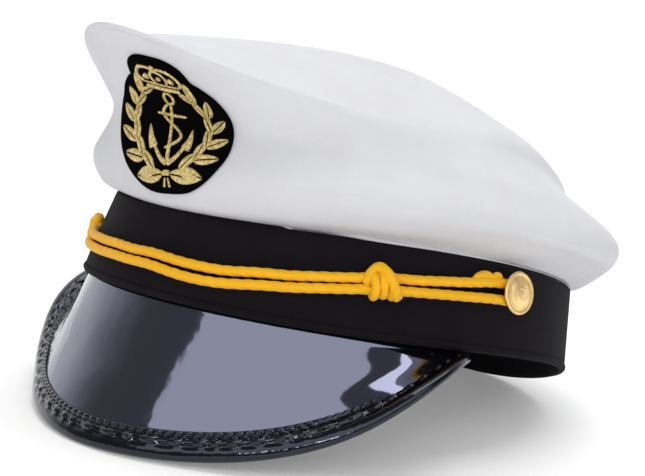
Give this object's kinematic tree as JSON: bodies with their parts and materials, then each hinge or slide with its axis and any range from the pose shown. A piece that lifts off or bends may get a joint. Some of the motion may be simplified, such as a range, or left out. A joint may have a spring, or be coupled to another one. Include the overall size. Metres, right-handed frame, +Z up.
{
  "type": "yachting cap",
  "caption": "Soft white-topped yachting cap with a black cloth band, a glossy bound peak, a gold cord with knots and gilt buttons, and a sewn badge.",
  "frame": {"origin": "on the surface that the cap rests on, below the middle of its whole box", "axes": "+Z up, the front and its peak face -Y, the wearer's left is +X"},
  "size_m": [0.2024, 0.2344, 0.135],
  "materials": {
    "white_cloth": "matt white woven cotton and polyester",
    "black_cloth": "matt black woven cloth",
    "black_vinyl": "patent black vinyl",
    "vinyl_edge": "black vinyl binding, stitched and puckered",
    "gold_cord": "twisted rayon cord",
    "gilt": "gilt pressed metal",
    "black_felt": "black felt with gold embroidery"
  },
  "bodies": {
    "root": {"crown": "white_cloth", "band": "black_cloth", "peak": "black_vinyl", "peak_binding": "vinyl_edge", "cord": "gold_cord", "knot_left": "gold_cord", "knot_right": "gold_cord", "button_left": "gilt", "button_right": "gilt", "badge": "black_felt"}
  },
  "joints": []
}
